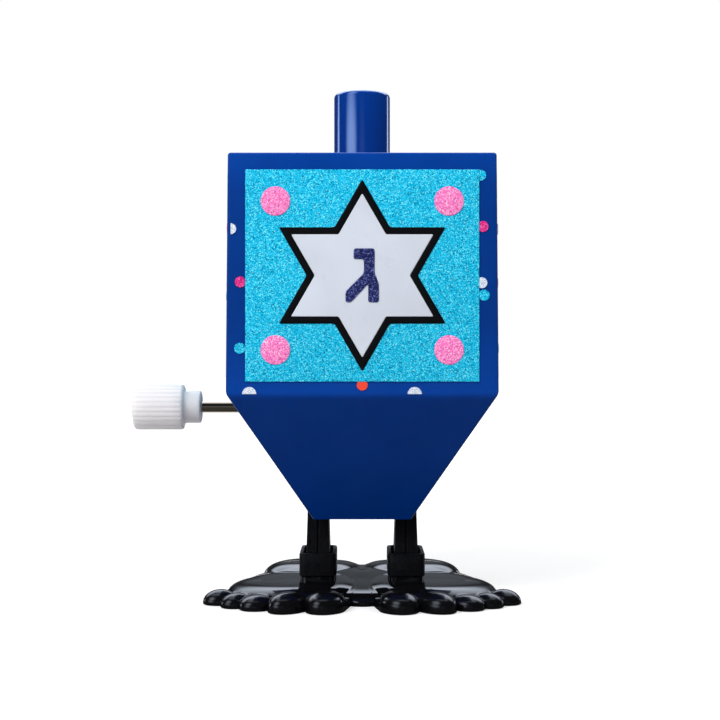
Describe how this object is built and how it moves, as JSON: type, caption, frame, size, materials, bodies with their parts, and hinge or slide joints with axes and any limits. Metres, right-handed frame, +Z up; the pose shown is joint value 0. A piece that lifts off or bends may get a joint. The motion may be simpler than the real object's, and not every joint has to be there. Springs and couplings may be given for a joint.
{
  "type": "wind-up dreidel",
  "caption": "Square dreidel body on two legs and one pair of toed feet, which a side knob winds and a clockwork motor inside rocks.",
  "frame": {"origin": "on the floor, under the middle of the dreidel's body", "axes": "+X to the viewer's right across the face, +Y from the front to the back, +Z up along the stem"},
  "size_m": [0.0649, 0.0433, 0.0854],
  "materials": {
    "foot_black": "high gloss",
    "leg_black": "fine matte texture",
    "body_blue": "satin",
    "stem_blue": "gloss",
    "glitter_cyan": "fine glitter grain",
    "print_white": "raised print",
    "print_black": "raised print",
    "print_navy": "dark glitter print",
    "print_pink": "glitter print",
    "dot_cyan": "glitter print",
    "dot_magenta": "glitter print",
    "dot_white": "print",
    "dot_orange": "print",
    "case_grey": "moulded",
    "spring_steel": "blued strip",
    "knob_white": "satin",
    "shaft_steel": "polished",
    "gear_natural": "natural acetal",
    "gear_amber": "acetal"
  },
  "bodies": {
    "feet": {"foot_base": "foot_black", "leg_left": "leg_black", "leg_right": "leg_black"},
    "body": {"front_shell": "body_blue", "rear_shell": "body_blue", "stem": "stem_blue", "panel_front": "glitter_cyan", "panel_right": "glitter_cyan", "panel_back": "glitter_cyan", "panel_left": "glitter_cyan", "star_print": "print_white", "star_border": "print_black", "corner_spots": "print_pink", "letter_gimel": "print_navy", "letter_nun": "print_navy", "letter_shin": "print_navy", "letter_hei": "print_navy", "dots_cyan": "dot_cyan", "dots_magenta": "dot_magenta", "dots_white": "dot_white", "dots_orange": "dot_orange", "frame_left": "case_grey", "frame_right": "case_grey", "mainspring": "spring_steel"},
    "main_drive": {"main_gear": "gear_natural", "click_spring": "spring_steel"},
    "winder": {"winding_knob": "knob_white", "winding_shaft": "shaft_steel", "spring_arbor": "shaft_steel", "ratchet_wheel": "gear_natural"},
    "second_drive": {"second_gear": "gear_natural"},
    "crank": {"crank_gear": "gear_natural"},
    "escapement": {"escape_wheel": "gear_amber"},
    "verge": {"pallet": "gear_amber"}
  },
  "joints": [
    {"name": "body_rock", "type": "hinge", "parent": "feet", "child": "body", "pos_m": [0, 0, 0.0321], "axis": [1, 0, 0], "range_deg": [-6, 6]},
    {"name": "main_gear_turn", "type": "hinge", "parent": "body", "child": "main_drive", "pos_m": [0, 0, 0.0321], "axis": [1, 0, 0], "continuous": true},
    {"name": "winding", "type": "hinge", "parent": "main_drive", "child": "winder", "pos_m": [0, 0, 0.0321], "axis": [1, 0, 0], "continuous": true},
    {"name": "second_gear_turn", "type": "hinge", "parent": "body", "child": "second_drive", "pos_m": [0, 0.00714, 0.0391], "axis": [1, 0, 0], "continuous": true},
    {"name": "crank_turn", "type": "hinge", "parent": "body", "child": "crank", "pos_m": [0, 0, 0.0417], "axis": [1, 0, 0], "continuous": true},
    {"name": "escape_turn", "type": "hinge", "parent": "body", "child": "escapement", "pos_m": [0, -0.00546, 0.04755], "axis": [1, 0, 0], "continuous": true},
    {"name": "pallet_rock", "type": "hinge", "parent": "body", "child": "verge", "pos_m": [0, 0.00156, 0.05303], "axis": [1, 0, 0], "range_deg": [-5, 5]}
  ],
  "couplings": [
    {"joint": "second_gear_turn", "follows": "main_gear_turn", "ratio": -4},
    {"joint": "crank_turn", "follows": "main_gear_turn", "ratio": 11.2},
    {"joint": "escape_turn", "follows": "main_gear_turn", "ratio": -33.6}
  ]
}
